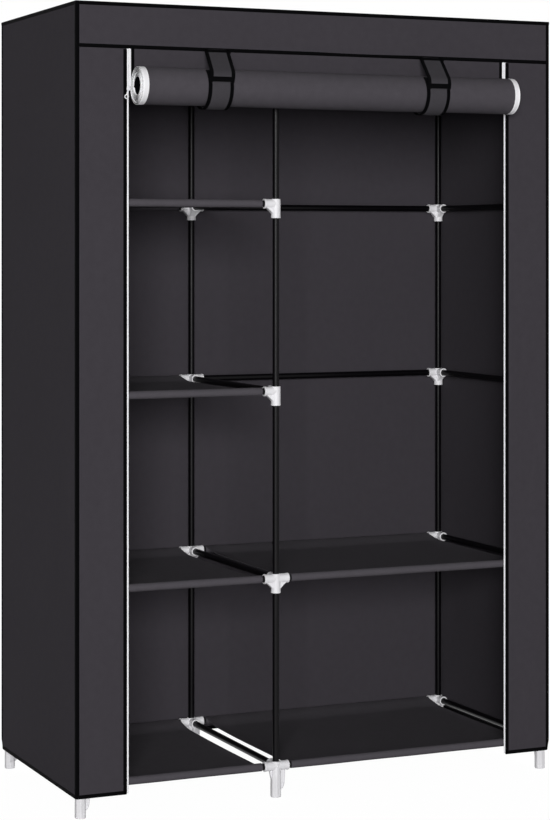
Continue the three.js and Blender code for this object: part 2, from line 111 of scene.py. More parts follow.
def piece(name, shells, materials, body="frame_and_cover", replaced=(), crease=35.0):
    """One mesh from shells, its normals outwards. Faces that meet at less than the crease angle, in
    degrees, are shaded as one smooth surface."""
    starts = np.cumsum([0] + [len(s[0]) for s in shells])
    points = np.concatenate([s[0] for s in shells])
    quads = np.concatenate([s[1] + at for s, at in zip(shells, starts)])
    tris = np.concatenate([s[4] + at for s, at in zip(shells, starts)])
    corners = np.concatenate([quads.ravel(), tris.ravel()])
    places = np.concatenate([s[2].reshape(-1, 2) for s in shells] + [np.zeros((tris.size, 2))])
    kinds = np.concatenate([s[3] for s in shells] + [np.zeros(len(tris), int)])
    begins = np.concatenate([np.arange(len(quads)) * 4, quads.size + np.arange(len(tris)) * 3])
    mesh = bpy.data.meshes.new(name)
    mesh.vertices.add(len(points))
    mesh.loops.add(len(corners))
    mesh.polygons.add(len(begins))
    mesh.vertices.foreach_set("co", points.astype(np.float32).ravel())
    mesh.loops.foreach_set("vertex_index", corners.astype(np.int32))
    mesh.polygons.foreach_set("loop_start", begins.astype(np.int32))
    mesh.polygons.foreach_set("material_index", kinds.astype(np.int32))
    mesh.polygons.foreach_set("use_smooth", np.ones(len(begins), bool))
    mesh.uv_layers.new(name="lengths").data.foreach_set("uv", places.astype(np.float32).ravel())
    mesh.update(calc_edges=True)
    outward = bmesh.new()
    outward.from_mesh(mesh)
    bmesh.ops.recalc_face_normals(outward, faces=outward.faces)
    outward.to_mesh(mesh)
    outward.free()
    mesh.set_sharp_from_angle(angle=np.radians(crease))
    for material in materials:
        mesh.materials.append(material)
    made = bpy.data.objects.new(name, mesh)
    bpy.context.scene.collection.objects.link(made)
    if body:
        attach(made, body)
    if replaced:
        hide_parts(*replaced)
    return made


def turned(profile, origin, axis, side, cap=0.0, flutes=0.0):
    """A profile of (radius, distance along the axis) pairs turned round the axis. Flutes add their
    depth times the cosine of seven times the angle. With a cap, points of a negative distance slide
    onto a cylinder of its radius round the third direction: distance = square root of (cap squared
    minus the sideways offset squared), never below zero."""
    origin, axis, side = (np.asarray(v, float) for v in (origin, axis, side))
    radius, reach = np.array(profile, float).T[..., None]
    angle = np.linspace(0, 2 * np.pi, ROUND, endpoint=False)
    radius = radius + np.broadcast_to(flutes, len(profile))[:, None] * np.cos(7 * angle)
    sideways = radius * np.cos(angle)
    upwards = radius * np.sin(angle)
    on_cap = np.sqrt(np.maximum(cap**2 - sideways**2, 0))
    along = np.where((reach < 0) & (cap > 0), on_cap, reach)
    offsets = ((along, axis), (sideways, side), (upwards, np.cross(axis, side)))
    return origin + sum(size[..., None] * way for size, way in offsets)


def swept(path, across, up, profile):
    """A profile of (across, up) pairs carried along a path: each ring is a point of the path plus
    the pairs measured along that point's two directions."""
    a, b = np.array(profile, float).T[..., None]
    across, up = (np.broadcast_to(way, path.shape)[:, None] for way in (across, up))
    return path[:, None] + a * across + b * up


def unit(arrows):
    """Vectors brought to a length of one."""
    return arrows / np.linalg.norm(arrows, axis=-1, keepdims=True)


def bezier(ends, count):
    """Points of a cubic curve from four control points, weighted by Bernstein's polynomials."""
    t = np.linspace(0, 1, count)[:, None]
    p = np.array(ends, float)
    return (1 - t) ** 3 * p[0] + 3 * t * (1 - t) ** 2 * p[1] + 3 * t**2 * (1 - t) * p[2] + t**3 * p[3]


def socket_arm(origin, axis, side):
    """A blind socket: a turned profile with a flared rim whose closed end lies inside the hub."""
    bore, outer, rim, reach = SOCKET_BORE, SOCKET_OUTER, SOCKET_RIM, ARM_REACH
    profile = [
        (outer * 0.4, -1), (outer * 0.8, -1), (outer, -1), (outer, reach - 0.0066),
        (outer + 0.0001, reach - 0.0056), (rim - 0.0001, reach - 0.0038), (rim, reach - 0.003),
        (rim, reach - 0.0006), (rim - 0.0006, reach), (bore + 0.0005, reach), (bore, reach - 0.0006),
        (bore, ARM_FLOOR), (bore * 0.4, ARM_FLOOR),
    ]
    return shell(turned(profile, origin, axis, side, cap=CAP_REACH), ends="fan")


def hub(origin, level):
    """The upright barrel of a connector, turned: open through its middle, closed above on the top
    level, and on the lowest level drawn out to a hollow leg that stands on the floor."""
    bore, outer, rim, flutes = SOCKET_BORE, HUB_OUTER, HUB_RIM, 0.0
    upper = [(outer, HUB_TOP - 0.0006), (outer - 0.0006, HUB_TOP)]
    mouth = [(bore + 0.0005, HUB_TOP), (bore, HUB_TOP - 0.0005)]
    skirt = [(bore, 0.0005), (bore + 0.0005, 0), (rim - 0.0004, 0), (rim, 0.0005), (rim, 0.0026)]
    skirt = [(r, at - DROP_REACH) for r, at in skirt + [(rim - 0.0003, 0.0036), (outer, 0.005)]]
    profile = mouth + skirt + upper
    if level == TOP:
        profile = [(END_RADIUS, HUB_TOP)] + upper[::-1] + skirt[::-1] + [(bore, 0.001), (END_RADIUS, 0.001)]
    if level == 0:
        floor = -LEVELS[0]
        leg = [
            (outer, -0.0165), (outer + 0.0004, -0.0185), (outer + 0.0006, -0.03), (outer + 0.0008, -0.042),
            (outer + 0.0008, -0.05), (outer + 0.0008, floor + 0.006), (outer + 0.0009, floor + 0.0036),
            (outer + 0.0009, floor + 0.0012), (outer + 0.0003, floor), (0.008, floor),
            (0.0076, floor + 0.0006), (0.0072, floor + 0.009), (END_RADIUS, floor + 0.009),
        ]
        profile = [(END_RADIUS, -0.003), (bore, -0.003)] + mouth[::-1] + upper[::-1] + leg
        flutes = np.zeros(len(profile))
        flutes[-12:-6] = FLUTE
    open_through = 0 < level < TOP
    rings = turned(profile, origin, (0, 0, 1), (1, 0, 0), flutes=flutes)
    return shell(rings, along=open_through, ends=None if open_through else "fan")


def web(origin, axis, level):
    """The gusset under a socket: a broad straight slope across the corner of hub and socket; on a
    foot a narrow ribbed fin down the leg with a hooked end, a small one where the socket points
    left. Each is a T-shaped section carried along a curve, its root inside hub and socket."""
    count, plate, rib, rib_depth = (20, 0.0018, 0.0034, 0.0018) if level == 0 else (14, 0.006, 0.0066, 0.0011)
    if level > 0:
        edge = [(0.0235, -0.0078), (0.0178, -0.0124), (0.0124, -0.0172), (0.0082, -0.0225)]
        root = [(0.0205, -0.004), (0.006, -0.005), (0.005, -0.006), (0.004, -0.02)]
    elif axis[0] < 0:
        edge = [(0.015, -0.009), (0.0138, -0.016), (0.0126, -0.024), (0.0102, -0.03)]
        root = [(0.0105, -0.008), (0.009, -0.009), (0.008, -0.01), (0.008, -0.0125)]
        rib_depth = 0.0012
    else:
        edge = [(0.0208, -0.009), (0.0192, -0.028), (0.0214, -0.047), (0.0102, -0.0515)]
        root = [(0.0125, -0.008), (0.01, -0.009), (0.009, -0.01), (0.008, -0.0125)]
    edge, root = bezier(edge, count), bezier(root, count)
    neck = edge + unit(root - edge) * rib_depth
    half = [(root, plate), (neck, plate), (neck, rib), (edge, rib * 0.86)]
    lines = [(line, -off) for line, off in half] + half[::-1]
    axis, up = np.array(axis, float), np.array((0, 0, 1))
    breadth = np.cross(axis, up)
    rings = [np.outer(line[:, 0], axis) + np.outer(line[:, 1], up) + off * breadth for line, off in lines]
    return shell(np.array(origin) + np.stack(rings, axis=1), ends="fan")


def railed(row, bay, level):
    """Whether a bay has a width rail here: the front of the hanging room has none."""
    return bay in (0, 1) and not (row == 0 and bay == 1 and level in (2, 3))


def sockets(column, row, level):
    """Directions of a connector's sockets: one along the depth, one for each rail along the width."""
    sides = [(way, 0, 0) for way, bay in ((1, column), (-1, column - 1)) if railed(row, bay, level)]
    return [(0, 1 - 2 * row, 0)] + sides


def join(tree, value, target):
    """Links a socket to an input, or sets the input to a plain value."""
    if isinstance(value, bpy.types.NodeSocket):
        tree.links.new(value, target)
    else:
        target.default_value = value


def node(tree, kind, inputs, output=0, **settings):
    """One output of a new shader node. Its inputs, in order or by name, get sockets or values."""
    made = tree.nodes.new(f"ShaderNode{kind}")
    for title, value in settings.items():
        setattr(made, title, value)
    for key, value in inputs.items() if isinstance(inputs, dict) else enumerate(inputs):
        join(tree, value, made.inputs[key])
    return made.outputs[output]


def maths(tree, operation, *terms):
    """The output of one Math node."""
    return node(tree, "Math", terms, operation=operation)


def summed(tree, base, *terms):
    """A base plus terms, each a (value, factor) pair."""
    for value, factor in terms:
        base = maths(tree, "MULTIPLY_ADD", value, factor, base)
    return base


def noise(tree, vector, scale, detail, roughness=0.5):
    """The value output of a noise texture, its scale in features for each metre."""
    inputs = {"Vector": vector, "Scale": scale, "Detail": detail, "Roughness": roughness}
    return node(tree, "TexNoise", inputs, "Fac")


def ramp(tree, *ranges):
    """A value between low and high stretched to another range, with soft ends."""
    return node(tree, "MapRange", ranges, interpolation_type="SMOOTHSTEP")


def tinted(tree, colour, tone):
    """A colour multiplied by a tone."""
    inputs = {"Factor": 1.0, "A": colour, "B": tone}
    return node(tree, "Mix", inputs, "Result", data_type="RGBA", blend_type="MULTIPLY")


def shade(red, green, blue, share=1.0):
    """A colour written in display values of 0 to 255, as linear light times a share."""
    value = np.array([red, green, blue]) / 255
    linear = np.where(value > 0.04045, ((value + 0.055) / 1.055) ** 2.4, value / 12.92) * share
    return (*linear.tolist(), 1.0)


def group(name, *numbers):
    """A node group that takes a place, a colour and numbers and gives colour, roughness, normal."""
    tree = bpy.data.node_groups.new(name, "ShaderNodeTree")
    takes = [("Vector", "Vector"), ("Colour", "Color")] + [(title, "Float") for title in numbers]
    gives = [("Colour", "Color"), ("Roughness", "Float"), ("Normal", "Vector")]
    for way, listed in (("INPUT", takes), ("OUTPUT", gives)):
        for title, kind in listed:
            tree.interface.new_socket(title, in_out=way, socket_type=f"NodeSocket{kind}")
    return tree, tree.nodes.new("NodeGroupInput").outputs


def completed(tree, given, tone, rough, height, depth, strength):
    """The group with its outputs: the colour times a tone, the roughness, and the normal of a
    height between 0 and 1 that stands for a depth in metres."""
    out = tree.nodes.new("NodeGroupOutput").inputs
    join(tree, tinted(tree, given["Colour"], tone), out["Colour"])
    join(tree, rough, out["Roughness"])
    bump = {"Strength": strength, "Distance": depth, "Height": height}
    join(tree, node(tree, "Bump", bump, "Normal"), out["Normal"])
    return tree


def finish(name, effect, colour, numbers, shader, space="Object"):
    """A material whose colour, roughness and normal come from a node group. Numbers are the group's
    values; shader's are for the shader's own sockets."""
    made = bpy.data.materials.new(name)
    made.use_nodes = True
    tree = made.node_tree
    layer = tree.nodes.new("ShaderNodeGroup")
    layer.node_tree = effect
    where = tree.nodes.new("ShaderNodeTexCoord").outputs[space]
    given = {"Vector": where, "Colour": colour, **numbers}
    looks = {"Base Color": layer.outputs["Colour"], **shader}
    looks.update({title: layer.outputs[title] for title in ("Roughness", "Normal")})
    for target, values in ((layer, given), (tree.nodes["Principled BSDF"], looks)):
        for title, value in values.items():
            join(tree, value, target.inputs[title])
    return made


def hard_skin():
    """Moulded or coated skin: colour times slow and fine clouds, a roughness that wanders round its
    middle, and a fine ripple in the normal."""
    tree, given = group("hard_skin", "Ripple", "Unevenness", "Gloss")
    clouds = maths(tree, "SUBTRACT", noise(tree, given["Vector"], 9.0, 3), 0.5)
    specks = noise(tree, given["Vector"], given["Ripple"], 2, 0.6)
    fine = maths(tree, "SUBTRACT", specks, 0.5)
    spread = maths(tree, "MULTIPLY", clouds, given["Unevenness"])
    tone = summed(tree, 1.0, (spread, 1.0), (maths(tree, "MULTIPLY", fine, given["Unevenness"]), 0.6))
    rough = summed(tree, given["Gloss"], (fine, 0.16), (spread, 0.5))
    return completed(tree, given, tone, rough, specks, 0.00004, 0.35)


HARD_SKIN = hard_skin()
white_plastic = finish(
    "white_moulded_plastic", HARD_SKIN, shade(228, 227, 230),
    {"Ripple": 420.0, "Unevenness": 0.24, "Gloss": 0.42}, {"Specular IOR Level": 0.4},
)

for label, column, row in POSTS:
    for level, height in enumerate(LEVELS):
        origin = (POST_X[column], POST_Y[row], height)
        parts = [hub(origin, level)]
        for axis in sockets(column, row, level):
            parts += [socket_arm(origin, axis, np.cross((0, 0, 1), axis)), web(origin, axis, level)]
        piece(f"connector_{label}_{level + 1}", parts, [white_plastic], replaced=[f"post_{label}"])

# ---- Upright tubes
# Four lengths of thin steel tube in each post, coated with glossy black enamel. Each stands in
# the connector below it and reaches into the drop socket of the one above.

TUBE_RADIUS = 0.007
TUBE_WALL = 0.0007
TUBE_SEAT = 0.0005
SOCKET_FLOOR = 0.0127


def tube(start, axis, side, length):
    """A thin-walled tube: its wall's section, with rounded rims, turned round the axis."""
    outer, inner, soft = TUBE_RADIUS, TUBE_RADIUS - TUBE_WALL, 0.0003
    profile = [
        (outer - soft, 0), (outer, soft), (outer, length - soft), (outer - soft, length),
        (inner, length), (inner, 0),
    ]
    return shell(turned(profile, start, axis, side), along=True)


black_enamel = finish(
    "black_enamel", HARD_SKIN, shade(6, 5, 7),
    {"Ripple": 500.0, "Unevenness": 0.25, "Gloss": 0.34}, {"Specular IOR Level": 0.11},
)

for label, column, row in POSTS:
    for level, height in enumerate(LEVELS[:TOP]):
        length = LEVELS[level + 1] - height - SOCKET_FLOOR
        parts = [tube((POST_X[column], POST_Y[row], height + TUBE_SEAT), (0, 0, 1), (1, 0, 0), length)]
        piece(f"upright_{label}_{level + 1}", parts, [black_enamel], replaced=[f"post_{label}"])

# ---- Rails
# Eighteen width rails and fifteen depth rails of the same black tube, pushed into the sockets.
# The front of the right bay has none on its third and fourth level, where the hanging room is.

BAYS = ("left", "right")


def rail(name, start, end, bar):
    """A tube between two posts, short of each post's axis by the socket's floor."""
    start, end = np.array(start, float), np.array(end, float)
    axis = unit(end - start)
    length = np.linalg.norm(end - start) - 2 * SOCKET_FLOOR
    shape = tube(start + axis * SOCKET_FLOOR, axis, np.cross((0, 0, 1), axis), length)
    piece(name, [shape], [black_enamel], replaced=[bar])


for level, z in enumerate(LEVELS):
    number = level + 1
    for row, y in enumerate(POST_Y):
        for bay, bay_name in enumerate(BAYS):
            if railed(row, bay, level):
                part = "" if row == 1 or level == TOP else f"{bay_name}_"
                ends = (POST_X[bay], y, z), (POST_X[bay + 1], y, z)
                rail(f"width_tube_{ROWS[row]}_{bay_name}_{number}", *ends, f"rail_{ROWS[row]}_{part}{number}")
    for column, x in zip(COLUMNS, POST_X):
        ends = (x, POST_Y[0], z), (x, POST_Y[1], z)
        rail(f"depth_tube_{column}_{number}", *ends, f"rail_side_{column}_{number}")

# ---- Hanging rail
# A black tube across the top of the right bay that carries the hangers. Its ends stand in two
# white T-shaped collars that are threaded on the top depth rails.

RAIL_Y = (POST_Y[0] + POST_Y[1]) / 2
COLLAR_HALF = 0.018

rail("hanging_tube", (POST_X[1], RAIL_Y, LEVELS[TOP]), (POST_X[2], RAIL_Y, LEVELS[TOP]), "hanging_rail")
for side_name, x, heading in (("left", POST_X[1], (1, 0, 0)), ("right", POST_X[2], (-1, 0, 0))):
    middle = (x, RAIL_Y, LEVELS[TOP])
    half = [
        (SOCKET_BORE, 0.0005), (SOCKET_BORE + 0.0005, 0), (SOCKET_RIM - 0.0005, 0),
        (SOCKET_RIM, 0.0005), (SOCKET_RIM, 0.0025), (SOCKET_OUTER, 0.0045),
    ]
    sleeve = [(r, at - COLLAR_HALF) for r, at in half] + [(r, COLLAR_HALF - at) for r, at in half[::-1]]
    barrel = shell(turned(sleeve, middle, (0, 1, 0), (0, 0, 1)), along=True)
    parts = [barrel, socket_arm(middle, heading, (0, 0, 1))]
    piece(f"hanging_collar_{side_name}", parts, [white_plastic], replaced=["hanging_rail"])

# ---- Shelves
# Six shelves of charcoal non-woven polypropylene. A sleeve is sewn to the front and the back edge
# of each and threaded on a width rail; the cloth between the sleeves sags a few millimetres.

CLOTH = 0.0012
SLEEVE_RADIUS = 0.0079
SHELF_GAP = 0.034
SHELF_SAG = 0.0045
HEM = 0.008
HEM_THICK = 0.0016
SHELF_RISE = 0.84
DOT_PITCH = 0.0021


def cloth_shell(middle, thickness, kind_out=0, kind_in=0):
    """Closed cloth round its middle surface: each point goes half the thickness to both sides along
    the surface's normal, the cross product of its two directions, and a rim joins the layers."""
    normal = unit(np.cross(np.gradient(middle, axis=0), np.gradient(middle, axis=1)))
    half = np.broadcast_to(thickness, middle.shape[:2])[..., None] / 2
    ring = np.concatenate([middle + normal * half, (middle - normal * half)[:, ::-1]], axis=1)
    rows, cols = middle.shape[:2]
    outer, inner = (np.broadcast_to(kind, (rows - 1, cols - 1)) for kind in (kind_out, kind_in))
    kinds = np.concatenate([outer, outer[:, -1:], inner, outer[:, :1]], axis=1)
    return shell(ring, ends="strip", kind=kinds)


def felt():
    """Non-woven cloth: fibres pressed together by staggered dots, where the product of two cosine
    waves is high or low. Tone follows the dots, the fibres and slow clouds; the dots are dents."""
    tree, given = group("felt")
    x, y, z = node(tree, "SeparateXYZ", [given["Vector"]]).node.outputs
    waves = [
        maths(tree, "COSINE", maths(tree, "MULTIPLY", maths(tree, "ADD", line, z), 2 * np.pi / DOT_PITCH))
        for line in (x, y)
    ]
    product = maths(tree, "ABSOLUTE", maths(tree, "MULTIPLY", *waves))
    dots = ramp(tree, product, 0.35, 0.75, 0.0, 1.0)
    fibre = noise(tree, given["Vector"], 1400.0, 3, 0.7)
    clouds = noise(tree, given["Vector"], 55.0, 3, 0.6)
    patches = noise(tree, given["Vector"], 3.0, 2)
    tone = summed(tree, 0.8, (clouds, 0.22), (patches, 0.1), (fibre, 0.14), (dots, -0.1))
    rough = summed(tree, 0.93, (dots, -0.18))
    height = summed(tree, 0.0, (fibre, 0.7), (dots, -1.0))
    return completed(tree, given, tone, rough, height, 0.00016, 0.55)


def cloth_finish(name, red, green, blue, space="UV"):
    """Felt of one colour, with hardly any sheen."""
    shader = {"Specular IOR Level": 0.02, "Sheen Weight": 0.01, "Sheen Roughness": 0.6}
    return finish(name, FELT, shade(red, green, blue), {}, shader, space)


FELT = felt()
# The shelves' cloth is the cover's cloth in a paler tone: painted light on the shelves, most on their curved
# sleeves.
shelf_cloth = cloth_finish("shelf_cloth", 80, 77, 82)
lining_cloth = cloth_finish("cover_cloth_inner_face", 62, 59, 64)


def eased(share):
    """A smoothstep of a share that is kept between 0 and 1."""
    share = np.clip(share, 0, 1)
    return share * share * (3 - 2 * share)


def shelf(name, bay, level):
    """Two sleeves and a sheet as grids in depth and width. The sheet sinks by its sag times a
    parabola of the depth and one of the width, and rises by a smoothstep of the depth to the top
    of the back sleeve, where it is sewn on; its side hems are thicker. A sleeve is a circle round
    its rail whose radius varies by a slow sine of the width."""
    low, high = POST_X[bay] + SHELF_GAP, POST_X[bay + 1] - SHELF_GAP
    across = np.linspace(low + HEM, high - HEM, 26)
    across = np.concatenate([[low, low + HEM * 0.92], across, [high - HEM * 0.92, high]])
    wide = (across - low) / (high - low)
    thick = np.where((across < low + HEM) | (across > high - HEM), HEM_THICK, CLOTH)
    start, end = POST_Y[0] + SLEEVE_RADIUS, POST_Y[1] - 0.0005
    deep = np.linspace(0, 1, 60)[:, None]
    ripple = 0.0005 * np.sin(wide * 19 + bay + 2.3 * level) * np.sin(deep * 7 + level)
    sink = SHELF_SAG * (0.45 + 0.55 * 4 * wide * (1 - wide)) - ripple
    rise = eased((deep - SHELF_RISE) / (1 - SHELF_RISE)) * (SLEEVE_RADIUS + CLOTH / 2)
    z = LEVELS[level] - CLOTH / 2 - 4 * deep * (1 - deep) * sink + rise
    y = start + (end - start) * deep
    sheet = np.stack([np.broadcast_to(across, z.shape), np.broadcast_to(y, z.shape), z], axis=2)
    shells = [cloth_shell(sheet, thick)]
    angle = np.radians(np.linspace(-8, 352, 34))[:, None]
    for rail_y, heading in zip(POST_Y, (1, -1)):
        radius = SLEEVE_RADIUS * (1 + 0.02 * np.sin(31 * across + 3 * level + heading))
        y = rail_y + heading * radius * np.cos(angle)
        z = LEVELS[level] + radius * np.sin(angle)
        shells.append(cloth_shell(np.stack([np.broadcast_to(across, y.shape), y, z], axis=2), CLOTH))
    made = piece(f"{name}_cloth", shells, [shelf_cloth], replaced=[name])


for bay, count in ((0, 4), (1, 2)):
    for level in range(count):
        shelf(f"shelf_{BAYS[bay]}_{level + 1}", bay, level)

# ---- Cover panels
# The cover is sewn from flat panels of charcoal non-woven cloth, of nearly one tone on both faces:
# top, back, two sides, the header over the doorway and a narrow flap on each side of it.

HALF_WIDTH = 0.5597
FRONT_Y = -0.2151
BACK_Y = 0.2961
ROOF_Z = 1.6779
WALL_TOP = 1.677
HEM_Z = 0.043
HEADER_Z = 1.585
FLAP_TOP = 1.5847
FLAP_WIDTH = 0.11
CORNER_SOFT = 0.008
SOFT_HEIGHT = 0.024
FINE_STEP = 0.0025

OUTER_COLOUR = (63, 60, 65)
cover_cloth = cloth_finish("cover_cloth_outer_face", *OUTER_COLOUR)


def softened(points):
    """The cover's upright edges round off towards the hem. Within a corner's radius of both walls a
    point's two distances from the arc's centre are scaled by the larger over the root of their
    summed squares; this grows by a smoothstep over the soft height."""
    middle = ((BACK_Y + FRONT_Y) / 2, (BACK_Y - FRONT_Y) / 2 - CORNER_SOFT)
    x, y, z = np.moveaxis(points, -1, 0)
    past_x = np.maximum(np.abs(x) - (HALF_WIDTH - CORNER_SOFT), 0)
    past_y = np.maximum(np.abs(y - middle[0]) - middle[1], 0)
    near = (past_x > 0) & (past_y > 0)
    pull = np.where(near, np.maximum(past_x, past_y) / np.maximum(np.hypot(past_x, past_y), 1e-9), 1) - 1
    pull = pull * eased((HEM_Z + SOFT_HEIGHT - z) / SOFT_HEIGHT)
    return np.stack([x + np.sign(x) * past_x * pull, y + np.sign(y - middle[0]) * past_y * pull, z], axis=-1)


def graded(length, start, end, count):
    """Shares of a length from 0 to 1: fine steps over a stretch at each end, even ones between."""
    shares = np.linspace(0, 1, count)
    first = np.arange(0, start, FINE_STEP) / length
    last = 1 - np.arange(0, end, FINE_STEP)[::-1] / length
    inner = shares[(shares > start / length) & (shares < 1 - end / length)]
    return np.unique(np.concatenate([first, inner, last, [0, 1]]).round(9))


def panel(name, corner, along, over, seed, wave=0.0011, rows=40, cols=40):
    """A flat panel from a corner over two edge vectors, whose cross product points inwards. It
    bulges outwards by the size of a sum of sine products times a fade that is zero on the edges."""
    tall, broad = np.linalg.norm(along), np.linalg.norm(over)
    soft, edge = (SOFT_HEIGHT, CORNER_SOFT) if along[2] > SOFT_HEIGHT else (0, 0)
    s, t = np.meshgrid(graded(tall, soft, 0, rows), graded(broad, edge, edge, cols), indexing="ij")
    fade = np.minimum(1, 12 * s * (1 - s)) * np.minimum(1, 8 * t * (1 - t))
    swell = (
        np.sin(6.3 * s * tall + 5 * t + seed) * np.sin(3.1 * t + 0.6 * seed)
        + 0.5 * np.sin(11 * s * tall - 7 * t * broad + 2 * seed)
        + 0.35 * np.sin(19 * t * broad + 4 * s * tall + seed)
    )
    middle = np.array(corner) + s[..., None] * along + t[..., None] * over
    middle = middle - unit(np.cross(along, over)) * (wave * np.abs(swell) * fade)[..., None]
    shells = [cloth_shell(softened(middle), CLOTH, 1, 0)]
    made = piece(f"{name}_cloth", shells, [cover_cloth, lining_cloth], replaced=[name])


width, depth, narrow = np.array([(2 * HALF_WIDTH, 0, 0), (0, BACK_Y - FRONT_Y, 0), (FLAP_WIDTH, 0, 0)])
wall, brow, flap = np.outer((WALL_TOP - HEM_Z, WALL_TOP - HEADER_Z, FLAP_TOP - HEM_Z), (0, 0, 1))
panel("cover_top", (-HALF_WIDTH, BACK_Y, ROOF_Z), width, -depth, 0.4, wave=0.0)
panel("cover_back", (HALF_WIDTH, BACK_Y, HEM_Z), wall, -width, 1.7)
panel("cover_left", (-HALF_WIDTH + CLOTH / 2, BACK_Y, HEM_Z), wall, -depth, 2.9)
panel("cover_right", (HALF_WIDTH - CLOTH / 2, FRONT_Y, HEM_Z), wall, depth, 4.1)
panel("cover_header", (-HALF_WIDTH, FRONT_Y, HEADER_Z), brow, width, 5.2, rows=12, wave=0.0005)
panel("flap_left", (-HALF_WIDTH, FRONT_Y, HEM_Z), flap, narrow, 6.6, cols=14, wave=0.0007)
panel("flap_right", (HALF_WIDTH - FLAP_WIDTH, FRONT_Y, HEM_Z), flap, narrow, 7.9, cols=14, wave=0.0007)

# ---- Bindings
# Black woven polyester tape covers every seam and free edge of the cover: folded over the corner
# where two panels meet, and folded round the cloth at hems, with a row of stitches on each side.

SIDES = (("left", -1), ("right", 1))
TAPE_WIDTH = 0.007
SEAM_LIFT = 0.0016
HEM_HALF = 0.0014
HEADER_HALF = 0.0011
STITCH_PITCH = 0.0034


def ribbed_tape():
    """Woven tape: ribs across it from a cosine of the length along it, threads from fine noise, and
    dashes of sewing thread where the way across is near a line and a slow square wave is on."""
    tree, given = group("ribbed_tape", "Rib pitch", "Stitch line", "Thread")
    x, y, _ = node(tree, "SeparateXYZ", [given["Vector"]]).node.outputs
    turns = maths(tree, "DIVIDE", maths(tree, "MULTIPLY", x, 2 * np.pi), given["Rib pitch"])
    ribs = maths(tree, "MULTIPLY_ADD", maths(tree, "COSINE", turns), 0.5, 0.5)
    stretched = node(tree, "VectorMath", (given["Vector"], (1.0, 4.0, 1.0)), operation="MULTIPLY")
    threads = noise(tree, stretched, 900.0, 2)
    away = maths(tree, "ABSOLUTE", maths(tree, "SUBTRACT", y, given["Stitch line"]))
    on_line = ramp(tree, away, 0.00025, 0.00045, 1.0, 0.0)
    beat = maths(tree, "SINE", maths(tree, "MULTIPLY", x, 2 * np.pi / STITCH_PITCH))
    stitch = maths(tree, "MULTIPLY", on_line, ramp(tree, beat, -0.35, -0.1, 0.0, 1.0))
    tone = summed(tree, 0.6, (threads, 0.5), (ribs, 0.3), (stitch, given["Thread"]))
    rough = summed(tree, 0.62, (threads, 0.2))
    height = summed(tree, 0.0, (ribs, 0.6), (stitch, 1.6))
    return completed(tree, given, tone, rough, height, 0.00022, 0.6)


RIBBED_TAPE = ribbed_tape()
black_tape = finish(
    "black_binding_tape", RIBBED_TAPE, shade(5, 5, 6),
    {"Rib pitch": 0.0009, "Stitch line": 0.0015, "Thread": 3.0}, {"Specular IOR Level": 0.02}, space="UV",
)


def corner_profile(width):
    """The section of a tape folded over a right-angled seam: across and up are outwards from the two
    panels, and the corner between them is rounded and a little crowned."""
    turn = np.radians(np.linspace(80, 10, 6))
    crown = [(SEAM_LIFT * (np.cos(a) - 0.3), SEAM_LIFT * (np.sin(a) - 0.3)) for a in turn]
    one = [(-width, -0.0003), (-width, 0.0006), (-width + 0.0007, 0.001), (-0.0016, 0.0012)]
    return one + crown + [(b, a) for a, b in one[::-1]] + [(-0.0012, -0.0012)]


def hem_profile(width, half=HEM_HALF):
    """The section of a tape folded round an edge: up runs from the fold to the two free borders, and
    across goes to both faces of the cloth."""
    fold = np.radians(np.linspace(180, 360, 9))
    bottom = [(half * np.cos(a), half * 0.9 * np.sin(a)) for a in fold]
    return bottom + [(half, width * 0.8), (half - 0.0003, width), (-half + 0.0003, width), (-half, width * 0.8)]


def binding(name, path, across, up, profile, closed=False):
    """A tape: its section carried along the path, softened with the cover's corners, and shut at
    both ends or joined to itself."""
    rings = softened(swept(np.array(path, float), across, up, profile))
    shells = [shell(rings, along=closed, ends=None if closed else "fan")]
    piece(name, shells, [black_tape], crease=50)


top_z = ROOF_Z + CLOTH / 2
outward = np.array([(-1, -1, 0), (1, -1, 0), (1, 1, 0), (-1, 1, 0)])
edge_y = {-1: FRONT_Y - CLOTH / 2, 1: BACK_Y + CLOTH / 2}
roof_path = [(x * HALF_WIDTH, edge_y[y], top_z) for x, y, _ in outward]
binding("binding_roof", roof_path, outward, (0, 0, 1), corner_profile(TAPE_WIDTH), closed=True)
for label, (x, y, _), (sign_x, sign_y, _) in zip(
    ("front_left", "front_right", "back_right", "back_left"), roof_path, outward,
):
    path = np.linspace((x, y, HEM_Z + 0.0005), (x, y, top_z - 0.0048), 160)
    binding(f"binding_corner_{label}", path, (sign_x, 0, 0), (0, sign_y, 0), corner_profile(TAPE_WIDTH))

inner, hem_x = HALF_WIDTH - FLAP_WIDTH, HALF_WIDTH - CLOTH / 2
hem_turns = np.array([
    (-inner, FRONT_Y), (-hem_x, FRONT_Y), (-hem_x, BACK_Y), (hem_x, BACK_Y), (hem_x, FRONT_Y), (inner, FRONT_Y),
])
hem_sides = np.array([(0, -1), (-1, 0), (0, 1), (1, 0), (0, -1), (0, 0)])
hem_path, hem_out = [hem_turns[0]], [hem_sides[0]]
for begin, end, out, following in zip(hem_turns, hem_turns[1:], hem_sides, hem_sides[1:]):
    shares = graded(np.linalg.norm(end - begin), 0.018, 0.018, 8)[1:]
    hem_path += [begin + (end - begin) * share for share in shares]
    hem_out += [out] * (len(shares) - 1) + [out + following]
hem_path, hem_out = np.insert(hem_path, 2, HEM_Z, axis=1), np.insert(hem_out, 2, 0, axis=1)
binding("binding_hem", hem_path, hem_out, (0, 0, 1), hem_profile(TAPE_WIDTH))
ends = [(x, FRONT_Y - 0.0001, HEADER_Z) for x in (0.004 - HALF_WIDTH, HALF_WIDTH - 0.004)]
header_tape = hem_profile(TAPE_WIDTH, half=HEADER_HALF)
binding("binding_header", np.linspace(*ends, 60), (0, -1, 0), (0, 0, 1), header_tape)
